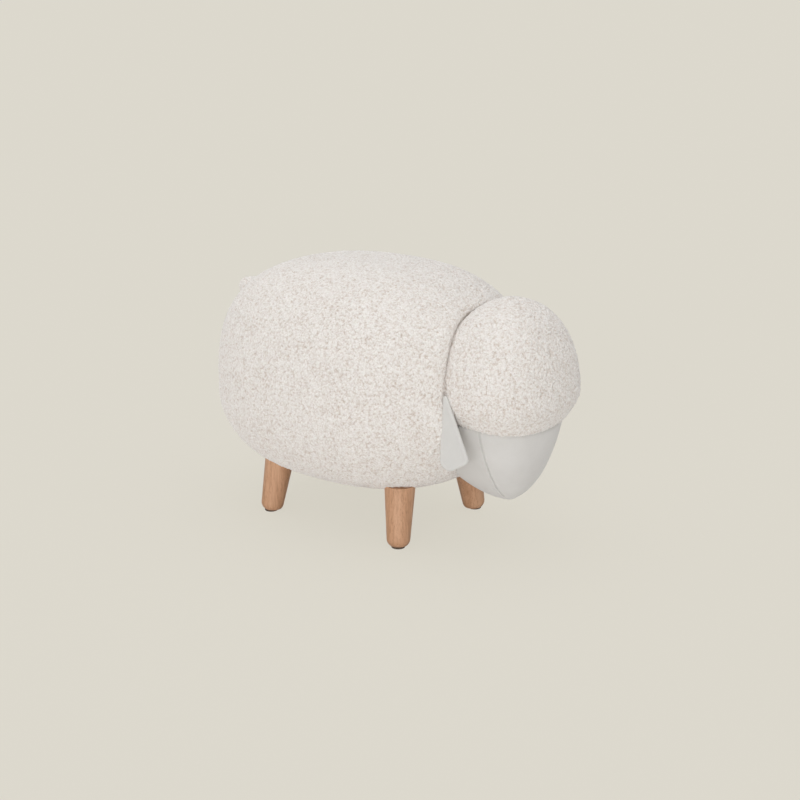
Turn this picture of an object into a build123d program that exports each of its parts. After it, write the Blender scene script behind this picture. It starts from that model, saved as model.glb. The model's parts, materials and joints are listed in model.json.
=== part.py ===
from build123d import *
from math import cos, radians, sin, tan
import os

# A footstool shaped like a sheep. X runs towards the head, Y to the animal's left and Z up.
# The origin is on the floor, under the middle of the whole stool. All lengths are millimetres.

# Stuffed body
total_height = 372.0
body_x = -39.0
body_half_length = 229.0
body_half_width = 177.0
girth_height = 169.0
belly_height = 72.0
body_corner_share = 0.9
crown_power = 2.96
belly_power = 1.56
crown_level_shares = (0.3, 0.55, 0.75, 0.88, 0.96, 0.99)
belly_level_shares = (1, 0.96, 0.85, 0.6, 0.3, 0)
crown_flat_share = 0.14
belly_flat_share = 0.55

# Layers under the body's cover
cover_thickness = 5.0
belly_seam_rise = 32.0
rump_seam_rise = 96.0
chest_seam_drop = 92.0
saddle_half_width = 88.0
dust_cover_thickness = 1.0
dust_cover_share = 0.84

# Head: a wool cap over a smooth tapering face. Its middle lies ahead of the body's front end,
# and its lip dips towards the front.
head_lead = 11.0
head_top_drop = 22.0
head_rise = 128.0
head_tuck = 42.0
head_half_width = 98.0
head_half_depth = 80.5
lip_tilt = 3.5
head_power = 2.05
head_corner_share = 0.82
head_level_shares = (0.3, 0.55, 0.75, 0.88, 0.96, 0.99)
head_flat_share = 0.12
lip_shares = (
    (1, -0.16, 0.76, 0.88),
    (0.85, -0.14, 0.86, 0.93),
    (0.65, -0.1, 0.93, 0.965),
    (0.35, -0.04, 0.98, 0.99),
)
cap_thickness = 6.0

face_top_gap = 4.0
face_setback = 42.0
face_half_width = 82.0
face_half_depth = 80.0
chin_rise = 0.5
chin_setback = 6.5
face_power = 2.26
face_end_power = 1.13
face_corner_share = 0.66
face_level_shares = (1, 0.97, 0.88, 0.72, 0.5, 0.25, 0)
chin_flat_share = 0.17
face_thickness = 3.0
face_seam_top_lead = 1.0
face_seam_chin_lead = 12.0

# Bows of the ends and sides of every plan outline, as turns in degrees
end_bow = 8.0
side_bow = 15.0

# Ears: two layers that hang from a sewn root in the crease between body and head.
# Straight edges join a narrow round root to a broad end, round at its heel and at its toe.
ear_setback = 35.5
ear_root_rise = 16.5
ear_root_gap = 0.5
ear_length = 103.0
ear_root_round = 3.0
ear_heel_round = 14.0
ear_heel_lead = 11.5
ear_toe_round = 12.0
ear_toe_lead = 29.5
ear_toe_rise = 10.5
ear_layer = 2.5
ear_flare = 8.0
ear_tab_width = 12.0
ear_tab_depth = 10.0
ear_tab_reach = 20.0

# Tail: a short stuffed tab sewn to the top of the rump
tail_root_share = 0.86
tail_drop = 57.0
tail_length = 45.0
tail_width = 36.0
tail_thickness = 29.0
tail_sink = 16.0
tail_end_round_share = 0.4
tail_edge_round_share = 0.36

# Legs and what fastens them
leg_lead = 6.0
foot_spread_x = 116.0
foot_spread_y = 93.0
splay_x_share = 0.091
splay_y_share = 0.169
leg_foot_diameter = 31.0
leg_top_diameter = 44.0
leg_blank_spare = 10.0
leg_foot_round = 12.0
glide_height = 3.0
glide_diameter = 19.0
glide_round = 1.0
glide_nail_diameter = 3.0
glide_nail_length = 14.0
bolt_diameter = 8.0
bolt_depth = 36.0
bolt_rise = 8.0
nut_barrel_diameter = 10.5
nut_barrel_length = 11.0
nut_flange_diameter = 22.0
nut_flange_thickness = 1.5

# Wooden frame inside
board_end_margin = 11.0
board_side_margin = 4.0
board_corner = 45.0
board_thickness = 16.0
belly_pad_thickness = 9.0
frame_end_setback = 24.0
frame_side_setback = 7.0
panel_thickness = 12.0
post_width = 28.0
seat_padding_thickness = 72.0
seat_board_thickness = 12.0
window_width = 90.0
window_height = 90.0
window_corner = 20.0

# Neck that carries the head
neck_rise = 10.0
neck_width = 44.0
neck_depth = 60.0
head_board_setback = 5.0
head_board_thickness = 12.0
head_board_half_width = 50.0
head_board_margin = 8.0
head_board_cover = 34.0
head_board_corner = 24.0
neck_bolt_spacing = 30.0
neck_bolt_length = 58.0
neck_bolt_head_diameter = 16.0
neck_bolt_head_thickness = 4.0
washer_diameter = 20.0
washer_thickness = 1.6
barrel_nut_diameter = 12.0
barrel_nut_length = 24.0

# Wood screws
screw_shank_diameter = 4.0
screw_head_diameter = 8.0
screw_head_height = 3.0
screw_tip = 5.0
board_screw_length = 45.0
panel_screw_length = 36.0
panel_screw_shares = (0.3, 0.7)
head_screw_length = 48.0
head_screw_spacing = 24.0

# Fits
wood_fit = 0.1
padding_fit = 0.6
sewn_gap = 0.3
overrun = 700.0

belly_seam_height = belly_height + belly_seam_rise
rump_seam_height = belly_seam_height + rump_seam_rise
chest_seam_height = total_height - chest_seam_drop

head_x = body_x + body_half_length + head_lead
head_top = total_height - head_top_drop
head_height = head_top - head_rise
head_lip_height = head_height - head_tuck
neck_height = head_height + neck_rise
head_board_x = head_x - head_board_setback
head_board_front = head_board_x + head_board_thickness
head_board_bottom = neck_height - neck_depth / 2 - head_board_margin
head_board_top = head_top - head_board_cover

face_top_height = head_board_bottom - face_top_gap
face_top_x = head_x - face_setback
chin_height = belly_height + chin_rise
chin_x = head_x - chin_setback
face_seam_top_x = head_x + face_seam_top_lead
face_seam_chin_x = head_x + face_seam_chin_lead

ear_root_x = head_x - ear_setback
ear_root_y = head_half_width + ear_root_gap
ear_root_height = head_height + ear_root_rise
tail_root_x = body_x - body_half_length * tail_root_share
tail_top_height = total_height - tail_drop

leg_x = body_x + leg_lead
board_half_length = foot_spread_x + board_end_margin
board_half_width = foot_spread_y + board_side_margin
frame_half_length = foot_spread_x - frame_end_setback
frame_half_width = foot_spread_y - frame_side_setback
board_height = belly_height + cover_thickness + belly_pad_thickness
board_top = board_height + board_thickness
leg_blank_length = board_height + leg_blank_spare
seat_board_top = total_height - seat_padding_thickness
seat_board_height = seat_board_top - seat_board_thickness
frame_front = leg_x + frame_half_length
frame_rear = leg_x - frame_half_length
inner_half_length = frame_half_length - panel_thickness
inner_half_width = frame_half_width - panel_thickness
barrel_nut_x = frame_front - panel_thickness + neck_bolt_length - barrel_nut_diameter / 2
post_x = inner_half_length - post_width / 2
post_y = inner_half_width - post_width / 2

corners = {"front_left": (1, 1), "front_right": (1, -1), "rear_left": (-1, 1), "rear_right": (-1, -1)}
sides = {"left": 1, "right": -1}


def save(piece, name):
    """Label a finished piece and write it to its own file."""
    piece.part.label = name
    export_step(piece.part, f"parts/{name}.step")


def block(low, high, mode=Mode.ADD):
    """A box between two corners, in the piece being made."""
    with Locations(tuple((a + b) / 2 for a, b in zip(low, high))):
        Box(*(b - a for a, b in zip(low, high)), mode=mode)


def cushion_outline(plane, half_length, half_width, corner_share):
    """A closed outline of eight tangent arcs: bowed ends and sides joined by round corners."""
    corner = corner_share * half_width
    end_slope = tan(radians(end_bow / 2))
    side_slope = tan(radians(side_bow / 2))
    corner_x = (half_length - corner - end_slope * (half_width - corner)) / (1 - end_slope * side_slope)
    corner_y = half_width - corner - side_slope * corner_x
    end_radius = corner + corner_y / sin(radians(end_bow))
    side_radius = corner + corner_x / sin(radians(side_bow))
    corner_turn = 90 - end_bow - side_bow
    with BuildSketch(plane) as outline:
        with BuildLine():
            for turn, way in ((0, 1), (180, -1)):
                CenterArc((way * (half_length - end_radius), 0), end_radius, turn - end_bow, 2 * end_bow)
                CenterArc((way * corner_x, way * corner_y), corner, turn + end_bow, corner_turn)
                side_centre = (0, way * (half_width - side_radius))
                CenterArc(side_centre, side_radius, turn + 90 - side_bow, 2 * side_bow)
                CenterArc((-way * corner_x, way * corner_y), corner, turn + 90 + side_bow, corner_turn)
        make_face()
    return outline.sketch


def round_share(level_share, power, end_share, end_power):
    """Girth of a rounded form, as a share of its widest, at a share of the way to its end."""
    return end_share + (1 - end_share) * (1 - level_share**power) ** (1 / end_power)


def body_form(inset):
    """The stuffed body, drawn in all round by an inset."""
    rise = total_height - inset - girth_height
    drop = girth_height - belly_height - inset
    levels = []
    for share in belly_level_shares:
        girth = round_share(share, belly_power, belly_flat_share, belly_power)
        levels.append((girth_height - drop * share, girth))
    for share in crown_level_shares:
        girth = round_share(share, crown_power, 0, crown_power)
        levels.append((girth_height + rise * share, girth))
    levels.append((girth_height + rise, crown_flat_share))
    with BuildPart() as form:
        loft(
            [
                cushion_outline(
                    Plane(origin=(body_x, 0, height)),
                    (body_half_length - inset) * girth,
                    (body_half_width - inset) * girth,
                    body_corner_share,
                )
                for height, girth in levels
            ]
        )
    return form.part


def head_outline(height, centre_x, half_depth, half_width, corner_share, tilt=0.0):
    """An outline across the head, tilted down towards the front."""
    lean = radians(tilt)
    plane = Plane(origin=(centre_x, 0, height), x_dir=(0, 1, 0), z_dir=(sin(lean), 0, cos(lean)))
    return cushion_outline(plane, half_width, half_depth, corner_share)


def cap_form(inset):
    """The wool cap of the head, drawn in all round by an inset."""
    rise = head_top - inset - head_height
    drop = head_height - head_lip_height - inset
    depth = head_half_depth - inset
    width = head_half_width - inset
    levels = []
    for share, shift, depth_share, width_share in lip_shares:
        centre_x = head_x + shift * depth
        height = head_height - drop * share
        levels.append((height, centre_x, depth * depth_share, width * width_share, lip_tilt * share))
    levels.append((head_height, head_x, depth, width, 0))
    for share in head_level_shares:
        girth = round_share(share, head_power, 0, head_power)
        levels.append((head_height + rise * share, head_x, depth * girth, width * girth, 0))
    levels.append((head_height + rise, head_x, depth * head_flat_share, width * head_flat_share, 0))
    with BuildPart() as form:
        loft([head_outline(*level[:-1], head_corner_share, level[-1]) for level in levels])
    return form.part


def face_form(inset):
    """The tapering face, drawn in by an inset except at its level top."""
    drop = face_top_height - chin_height - inset
    outlines = []
    for share in face_level_shares:
        girth = round_share(share, face_power, chin_flat_share, face_end_power)
        outlines.append(
            head_outline(
                face_top_height - drop * share,
                face_top_x + (chin_x - face_top_x) * share,
                (face_half_depth - inset) * girth,
                (face_half_width - inset) * girth,
                face_corner_share,
            )
        )
    with BuildPart() as form:
        loft(outlines)
    return form.part


def leg_plane(way_x, way_y):
    """The plane under a foot, square to the splayed leg."""
    foot = (leg_x + way_x * foot_spread_x, way_y * foot_spread_y, 0)
    return Plane(origin=foot, z_dir=(-way_x * splay_x_share, -way_y * splay_y_share, 1))


def leg_top(way_x, way_y):
    """The middle of a leg's top face, under the base board."""
    spread_x = foot_spread_x - splay_x_share * board_height
    spread_y = foot_spread_y - splay_y_share * board_height
    return leg_x + way_x * spread_x, way_y * spread_y


def leg_form(plane, growth):
    """A tapered leg blank, grown by a clearance."""
    with BuildPart(plane) as form:
        Cone(
            leg_foot_diameter / 2 + growth,
            leg_top_diameter / 2 + growth,
            leg_blank_length,
            align=(Align.CENTER, Align.CENTER, Align.MIN),
        )
        fillet(form.edges().group_by(Axis.Z)[0], leg_foot_round)
    return form.part


def legs_form(growth):
    """All four leg blanks, for cutting their holes."""
    with BuildPart() as form:
        for way_x, way_y in corners.values():
            add(leg_form(leg_plane(way_x, way_y), growth))
    return form.part


def screw_form(length, growth=0.0):
    """A countersunk wood screw under the origin, head up, grown by a clearance."""
    head = screw_head_diameter / 2 + growth
    shank = screw_shank_diameter / 2 + growth
    with BuildPart() as form:
        with BuildSketch(Plane.XZ):
            with BuildLine():
                Polyline(
                    (0, 0),
                    (head, 0),
                    (shank, -screw_head_height),
                    (shank, screw_tip - length),
                    (0, -length - growth),
                    close=True,
                )
            make_face()
        revolve(axis=Axis.Z)
    return form.part


def rod(place, direction, radius, length, mode=Mode.ADD):
    """A cylinder that starts at a place and runs along a direction."""
    with Locations(Plane(origin=place, z_dir=direction).location):
        Cylinder(radius, length, align=(Align.CENTER, Align.CENTER, Align.MIN), mode=mode)


def screws(places, length):
    """A group of like screws, each set in its own plane with its head at the origin."""
    with BuildPart() as group:
        for place in places:
            add(screw_form(length).moved(place.location))
    return group


def drill(places, length):
    """The holes for a group of screws, in the piece being made."""
    for place in places:
        add(screw_form(length, wood_fit).moved(place.location), mode=Mode.SUBTRACT)


os.makedirs("parts", exist_ok=True)

post_places = [(leg_x + way_x * post_x, way_y * post_y) for way_x, way_y in corners.values()]
base_screw_planes = [Plane(origin=(x, y, board_height), z_dir=(0, 0, -1)) for x, y in post_places]
seat_screw_planes = [Plane(origin=(x, y, seat_board_top), z_dir=(0, 0, 1)) for x, y in post_places]
panel_height = seat_board_height - board_top
panel_screw_heights = [board_top + panel_height * share for share in panel_screw_shares]
end_screw_planes = [
    Plane(
        origin=(leg_x + way_x * frame_half_length, way_y * (post_y + screw_head_height), height),
        z_dir=(way_x, 0, 0),
    )
    for way_x, way_y in corners.values()
    for height in panel_screw_heights
]
side_screw_planes = [
    Plane(
        origin=(leg_x + way_x * (post_x - screw_head_height), way_y * frame_half_width, height),
        z_dir=(0, way_y, 0),
    )
    for way_x, way_y in corners.values()
    for height in [level + screw_head_diameter for level in panel_screw_heights]
]
neck_bolt_heights = (neck_height - neck_bolt_spacing / 2, neck_height + neck_bolt_spacing / 2)
head_screw_planes = [
    Plane(origin=(head_board_front, way * head_screw_spacing / 2, height), z_dir=(1, 0, 0))
    for way in sides.values()
    for height in neck_bolt_heights
]

# Base board, with holes for the leg nuts and the screws into the posts
with BuildPart() as base_board:
    with BuildSketch(Plane.XY.offset(board_height)):
        with Locations((leg_x, 0)):
            RectangleRounded(2 * board_half_length, 2 * board_half_width, board_corner)
    extrude(amount=board_thickness)
    with Locations([(*leg_top(*way), board_height) for way in corners.values()]):
        Cylinder(
            nut_barrel_diameter / 2 + wood_fit,
            board_thickness,
            align=(Align.CENTER, Align.CENTER, Align.MIN),
            mode=Mode.SUBTRACT,
        )
    drill(base_screw_planes, board_screw_length)
save(base_board, "base_board")

# Seat board on top of the frame
with BuildPart() as seat_board:
    block(
        (frame_rear, -frame_half_width, seat_board_height),
        (frame_front, frame_half_width, seat_board_top),
    )
    drill(seat_screw_planes, board_screw_length)
save(seat_board, "seat_board")

# Front and rear panels of the frame
with BuildPart() as front_panel:
    block(
        (frame_front - panel_thickness, -frame_half_width, board_top),
        (frame_front, frame_half_width, seat_board_height),
    )
    for height in neck_bolt_heights:
        rod((0, 0, height), (1, 0, 0), bolt_diameter / 2 + wood_fit, frame_front, Mode.SUBTRACT)
    drill(end_screw_planes, panel_screw_length)
save(front_panel, "front_panel")

with BuildPart() as rear_panel:
    block(
        (frame_rear, -frame_half_width, board_top),
        (frame_rear + panel_thickness, frame_half_width, seat_board_height),
    )
    drill(end_screw_planes, panel_screw_length)
save(rear_panel, "rear_panel")

# Side panels between them, and a rib under the middle of the seat board
for name, way in sides.items():
    with BuildPart() as side_panel:
        near_y, far_y = sorted((way * frame_half_width, way * inner_half_width))
        block(
            (frame_rear + panel_thickness, near_y, board_top),
            (frame_front - panel_thickness, far_y, seat_board_height),
        )
        drill(side_screw_planes, panel_screw_length)
    save(side_panel, f"side_panel_{name}")

with BuildPart() as middle_rib:
    block(
        (leg_x - panel_thickness / 2, -inner_half_width, board_top),
        (leg_x + panel_thickness / 2, inner_half_width, seat_board_height),
    )
    with BuildSketch(Plane.YZ.offset(leg_x - panel_thickness / 2)):
        with Locations((0, (board_top + seat_board_height) / 2)):
            RectangleRounded(window_width, window_height, window_corner)
    extrude(amount=panel_thickness, mode=Mode.SUBTRACT)
save(middle_rib, "middle_rib")

# Corner posts that the boards and panels are screwed to
for name, (way_x, way_y) in corners.items():
    with BuildPart() as corner_post:
        with Locations((leg_x + way_x * post_x, way_y * post_y, board_top)):
            Box(
                post_width,
                post_width,
                seat_board_height - board_top,
                align=(Align.CENTER, Align.CENTER, Align.MIN),
            )
        drill(base_screw_planes + seat_screw_planes, board_screw_length)
        drill(end_screw_planes + side_screw_planes, panel_screw_length)
    save(corner_post, f"corner_post_{name}")

save(screws(base_screw_planes, board_screw_length), "base_screws")
save(screws(seat_screw_planes, board_screw_length), "seat_screws")
save(screws(end_screw_planes, panel_screw_length), "end_panel_screws")
save(screws(side_screw_planes, panel_screw_length), "side_panel_screws")

# Neck beam from the front panel to the head board
with BuildPart() as neck_beam:
    block(
        (frame_front, -neck_width / 2, neck_height - neck_depth / 2),
        (head_board_x, neck_width / 2, neck_height + neck_depth / 2),
    )
    for height in neck_bolt_heights:
        start = (frame_front, 0, height)
        rod(start, (1, 0, 0), bolt_diameter / 2 + wood_fit, neck_bolt_length, Mode.SUBTRACT)
        start = (barrel_nut_x, -neck_width / 2, height)
        rod(start, (0, 1, 0), barrel_nut_diameter / 2 + wood_fit, neck_width, Mode.SUBTRACT)
    drill(head_screw_planes, head_screw_length)
save(neck_beam, "neck_beam")

# Bolts, washers and barrel nuts that hold the neck beam to the front panel
with BuildPart() as neck_bolts:
    for height in neck_bolt_heights:
        start = frame_front - panel_thickness - washer_thickness
        rod((start, 0, height), (1, 0, 0), bolt_diameter / 2, neck_bolt_length + washer_thickness)
        rod((start, 0, height), (-1, 0, 0), neck_bolt_head_diameter / 2, neck_bolt_head_thickness)
save(neck_bolts, "neck_bolts")

with BuildPart() as neck_washers:
    for height in neck_bolt_heights:
        start = (frame_front - panel_thickness, 0, height)
        rod(start, (-1, 0, 0), washer_diameter / 2, washer_thickness)
        rod(start, (-1, 0, 0), bolt_diameter / 2 + wood_fit, washer_thickness, Mode.SUBTRACT)
save(neck_washers, "neck_washers")

with BuildPart() as barrel_nuts:
    for height in neck_bolt_heights:
        start = (barrel_nut_x, -barrel_nut_length / 2, height)
        rod(start, (0, 1, 0), barrel_nut_diameter / 2, barrel_nut_length)
        start = (frame_front, 0, height)
        rod(start, (1, 0, 0), bolt_diameter / 2 + wood_fit, neck_bolt_length, Mode.SUBTRACT)
save(barrel_nuts, "barrel_nuts")

# Head board, screwed to the front end of the neck beam
with BuildPart() as head_board_blank:
    with BuildSketch(Plane.YZ.offset(head_board_x)):
        with Locations((0, (head_board_bottom + head_board_top) / 2)):
            head_board_height = head_board_top - head_board_bottom
            RectangleRounded(2 * head_board_half_width, head_board_height, head_board_corner)
    extrude(amount=head_board_thickness)
with BuildPart() as head_board:
    add(head_board_blank.part)
    drill(head_screw_planes, head_screw_length)
save(head_board, "head_board")
save(screws(head_screw_planes, head_screw_length), "head_board_screws")

# Legs, their hanger bolts and nuts, and the glides under the feet
for name, (way_x, way_y) in corners.items():
    plane = leg_plane(way_x, way_y)
    foot_x, foot_y = plane.origin.X, plane.origin.Y
    with BuildPart() as leg:
        add(leg_form(plane, 0))
        block((-overrun, -overrun, glide_height), (overrun, overrun, board_height), Mode.INTERSECT)
        top = (*leg_top(way_x, way_y), board_height)
        rod(top, (0, 0, -1), bolt_diameter / 2 + wood_fit, bolt_depth, Mode.SUBTRACT)
        foot = (foot_x, foot_y, glide_height)
        rod(foot, (0, 0, 1), glide_nail_diameter / 2 + wood_fit, glide_nail_length, Mode.SUBTRACT)
    save(leg, f"leg_{name}")
    with BuildPart() as glide:
        rod((foot_x, foot_y, 0), (0, 0, 1), glide_diameter / 2, glide_height)
        fillet(glide.edges().group_by(Axis.Z)[0], glide_round)
        rod((foot_x, foot_y, glide_height), (0, 0, 1), glide_nail_diameter / 2, glide_nail_length)
    save(glide, f"foot_glide_{name}")

with BuildPart() as hanger_bolts:
    for way in corners.values():
        rod(
            (*leg_top(*way), board_height - bolt_depth),
            (0, 0, 1),
            bolt_diameter / 2,
            bolt_depth + board_thickness + bolt_rise,
        )
save(hanger_bolts, "hanger_bolts")

with BuildPart() as leg_nuts:
    for way in corners.values():
        top = (*leg_top(*way), board_top)
        rod(top, (0, 0, 1), nut_flange_diameter / 2, nut_flange_thickness)
        rod(top, (0, 0, -1), nut_barrel_diameter / 2, nut_barrel_length)
    for way in corners.values():
        start = (*leg_top(*way), board_height)
        rod(start, (0, 0, 1), bolt_diameter / 2 + wood_fit, board_thickness + bolt_rise, Mode.SUBTRACT)
save(leg_nuts, "leg_nuts")

# Forms that the padding and the covers share
body_outside = body_form(0)
body_lining = body_form(cover_thickness)
cap_outside = cap_form(0)
cap_lining = cap_form(cap_thickness)
face_outside = face_form(0)
face_lining = face_form(face_thickness)
leg_holes = legs_form(padding_fit)


def cut_neck(clearance):
    """The hole for the neck beam, in the piece being made."""
    block(
        (frame_front, -neck_width / 2 - clearance, neck_height - neck_depth / 2 - clearance),
        (head_board_x, neck_width / 2 + clearance, neck_height + neck_depth / 2 + clearance),
        Mode.SUBTRACT,
    )


def cut_leg_nuts():
    """Pockets over the ends of the leg bolts, in the piece being made."""
    for way in corners.values():
        rod(
            (*leg_top(*way), board_top),
            (0, 0, 1),
            nut_flange_diameter / 2 + padding_fit,
            bolt_rise + padding_fit,
            Mode.SUBTRACT,
        )


# Belly foam: a tray that the base board sits in
with BuildPart() as belly_foam:
    add(body_lining)
    block((-overrun, -overrun, 0), (overrun, overrun, board_top), Mode.INTERSECT)
    with BuildSketch(Plane.XY.offset(board_height)):
        with Locations((leg_x, 0)):
            RectangleRounded(2 * board_half_length, 2 * board_half_width, board_corner)
    extrude(amount=board_thickness, mode=Mode.SUBTRACT)
    add(leg_holes, mode=Mode.SUBTRACT)
save(belly_foam, "belly_foam")

# Foam blocks round the frame, and the thick seat foam over it
foam_bounds = {
    "seat_foam": ((-overrun, -overrun, seat_board_top), (overrun, overrun, overrun)),
    "foam_front": ((frame_front, -overrun, board_top), (overrun, overrun, seat_board_top)),
    "foam_rear": ((-overrun, -overrun, board_top), (frame_rear, overrun, seat_board_top)),
    "foam_left": ((frame_rear, frame_half_width, board_top), (frame_front, overrun, seat_board_top)),
    "foam_right": ((frame_rear, -overrun, board_top), (frame_front, -frame_half_width, seat_board_top)),
}
for name, (low, high) in foam_bounds.items():
    with BuildPart() as foam:
        add(body_lining)
        block(low, high, Mode.INTERSECT)
        cut_leg_nuts()
        cut_neck(padding_fit)
    save(foam, name)


def cover_panel(name, blocks, cut=()):
    """One sewn panel of the body's wool cover: what lies in some blocks and not in others."""
    with BuildPart() as keep:
        for low, high in blocks:
            block(low, high)
        for low, high in cut:
            block(low, high, Mode.SUBTRACT)
    with BuildPart() as panel:
        add(body_outside)
        add(body_lining, mode=Mode.SUBTRACT)
        add(keep.part, mode=Mode.INTERSECT)
        add(leg_holes, mode=Mode.SUBTRACT)
        cut_neck(padding_fit)
    save(panel, name)


# Wool cover of the body
cover_panel("cover_belly", [((-overrun, -overrun, 0), (overrun, overrun, belly_seam_height))])
for name, way in sides.items():
    near_y, far_y = sorted((way * saddle_half_width, way * overrun))
    flank = ((-overrun, near_y, belly_seam_height), (overrun, far_y, overrun))
    cover_panel(f"cover_flank_{name}", [flank])
cover_panel(
    "cover_rump",
    [((-overrun, -saddle_half_width, belly_seam_height), (body_x, saddle_half_width, rump_seam_height))],
)
cover_panel(
    "cover_chest",
    [((body_x, -saddle_half_width, belly_seam_height), (overrun, saddle_half_width, chest_seam_height))],
)
cover_panel(
    "cover_saddle",
    [((-overrun, -saddle_half_width, rump_seam_height), (overrun, saddle_half_width, overrun))],
    [((body_x, -overrun, 0), (overrun, overrun, chest_seam_height))],
)

# Dust cover sewn under the belly
with BuildPart() as dust_cover:
    add(
        cushion_outline(
            Plane(origin=(body_x, 0, belly_height - dust_cover_thickness)),
            body_half_length * belly_flat_share * dust_cover_share,
            body_half_width * belly_flat_share * dust_cover_share,
            body_corner_share,
        )
    )
    extrude(amount=dust_cover_thickness)
    add(leg_holes, mode=Mode.SUBTRACT)
save(dust_cover, "dust_cover")

# Foam of the head, in front of and behind the head board
head_foam_lengths = {
    "head_foam_front": (head_board_front, overrun),
    "head_foam_rear": (-overrun, head_board_front),
}
for name, (low_x, high_x) in head_foam_lengths.items():
    with BuildPart() as head_foam:
        add(cap_lining)
        block((low_x, -overrun, 0), (high_x, overrun, overrun), Mode.INTERSECT)
        add(body_outside, mode=Mode.SUBTRACT)
        add(face_outside, mode=Mode.SUBTRACT)
        add(head_board_blank.part, mode=Mode.SUBTRACT)
        cut_neck(padding_fit)
    save(head_foam, name)

# Foam of the face
with BuildPart() as face_foam:
    add(face_lining)
    add(body_outside, mode=Mode.SUBTRACT)
save(face_foam, "face_foam")

# Wool cap, sewn from a left and a right half
for name, way in sides.items():
    with BuildPart() as cap:
        add(cap_outside)
        add(cap_lining, mode=Mode.SUBTRACT)
        near_y, far_y = sorted((0, way * overrun))
        block((-overrun, near_y, 0), (overrun, far_y, overrun), Mode.INTERSECT)
        add(body_outside, mode=Mode.SUBTRACT)
        add(face_outside, mode=Mode.SUBTRACT)
    save(cap, f"cap_{name}")

# Smooth face: a wide front panel and two cheeks behind its seam
seam_plane = Plane(
    origin=(face_seam_chin_x, 0, chin_height),
    x_dir=(0, 1, 0),
    z_dir=(face_top_height - chin_height, 0, face_seam_chin_x - face_seam_top_x),
)
with BuildPart() as face_shell:
    add(face_outside)
    add(face_lining, mode=Mode.SUBTRACT)
    add(body_outside, mode=Mode.SUBTRACT)
with BuildPart() as face_front:
    add(face_shell.part)
    split(bisect_by=seam_plane, keep=Keep.TOP)
save(face_front, "face_front")
for name, way in sides.items():
    with BuildPart() as cheek:
        add(face_shell.part)
        split(bisect_by=seam_plane, keep=Keep.BOTTOM)
        near_y, far_y = sorted((0, way * overrun))
        block((-overrun, near_y, 0), (overrun, far_y, overrun), Mode.INTERSECT)
    save(cheek, f"cheek_{name}")


def ear_plane(way):
    """The plane of an ear's inner face, leaning out towards the ear's end."""
    return Plane(
        origin=(ear_root_x, way * ear_root_y, ear_root_height),
        x_dir=(1, 0, 0),
        z_dir=(0, way, ear_flare / ear_length),
    )


def ear_layer_form(way, lift):
    """One layer of a hanging ear, at a height above its inner face and clear of the body."""
    heel_drop = ear_length - ear_heel_round
    with BuildPart() as layer:
        with BuildSketch(ear_plane(way).offset(lift)):
            with Locations((0, way * ear_root_round)):
                Circle(ear_root_round)
            with Locations((ear_heel_lead, way * heel_drop)):
                Circle(ear_heel_round)
            with Locations((ear_toe_lead, way * (heel_drop - ear_toe_rise))):
                Circle(ear_toe_round)
            make_hull()
        extrude(amount=ear_layer)
        add(body_clear, mode=Mode.SUBTRACT)
    return layer


# Ears and the sewn tabs that they hang from
body_clear = body_form(-sewn_gap)
for name, way in sides.items():
    save(ear_layer_form(way, 0), f"ear_lining_{name}")
    save(ear_layer_form(way, ear_layer), f"ear_outer_{name}")
    with BuildPart() as ear_tab:
        near_y, far_y = sorted((way * (ear_root_y - ear_tab_reach), way * (ear_root_y - sewn_gap)))
        block(
            (ear_root_x - ear_tab_width / 2, near_y, ear_root_height - ear_tab_depth),
            (ear_root_x + ear_tab_width / 2, far_y, ear_root_height),
        )
        add(body_outside, mode=Mode.SUBTRACT)
        add(cap_outside, mode=Mode.SUBTRACT)
    save(ear_tab, f"ear_tab_{name}")

# Tail: a tab that is round at its free end and along its edges
with BuildPart() as tail:
    block(
        (tail_root_x - tail_length, -tail_width / 2, tail_top_height - tail_thickness),
        (tail_root_x + tail_sink, tail_width / 2, tail_top_height),
    )
    free_end = tail.faces().sort_by(Axis.X)[0]
    fillet(free_end.edges().filter_by(Axis.Z), tail_width * tail_end_round_share)
    rims = tail.faces().filter_by(Axis.Z).edges() - tail.faces().sort_by(Axis.X)[-1].edges()
    fillet(rims, tail_thickness * tail_edge_round_share)
    add(body_clear, mode=Mode.SUBTRACT)
save(tail, "tail")
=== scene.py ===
"""A sheep footstool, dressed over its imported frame.

Lengths are millimetres, apart from those of the camera and the floor, which are metres.
"""
import json
import math

import bmesh
import bpy
import numpy as np
from mathutils import Matrix, Vector


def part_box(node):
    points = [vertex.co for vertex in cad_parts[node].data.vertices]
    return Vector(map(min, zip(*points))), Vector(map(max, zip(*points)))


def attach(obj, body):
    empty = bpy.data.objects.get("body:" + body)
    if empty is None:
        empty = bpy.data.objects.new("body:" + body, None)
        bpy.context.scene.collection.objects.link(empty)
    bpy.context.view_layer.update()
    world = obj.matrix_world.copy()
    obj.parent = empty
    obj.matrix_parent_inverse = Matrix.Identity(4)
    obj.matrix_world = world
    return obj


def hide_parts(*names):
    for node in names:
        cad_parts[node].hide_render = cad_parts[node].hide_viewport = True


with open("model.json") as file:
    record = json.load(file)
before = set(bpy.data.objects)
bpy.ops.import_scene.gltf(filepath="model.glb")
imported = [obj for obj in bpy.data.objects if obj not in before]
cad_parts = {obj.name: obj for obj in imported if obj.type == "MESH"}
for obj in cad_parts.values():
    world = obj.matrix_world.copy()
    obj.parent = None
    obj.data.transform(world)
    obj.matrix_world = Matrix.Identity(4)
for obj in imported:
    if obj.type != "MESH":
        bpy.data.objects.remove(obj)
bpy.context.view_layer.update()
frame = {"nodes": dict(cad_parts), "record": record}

MM = 0.001

# Viewpoint of the photograph
CAMERA_AZIMUTH = math.radians(37)
CAMERA_ELEVATION = math.radians(17)
CAMERA_DISTANCE = 2.0
CAMERA_TARGET = Vector((0.016, 0, 0.175))
SENSOR_WIDTH = 36.0
LENS = 63.9

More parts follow.
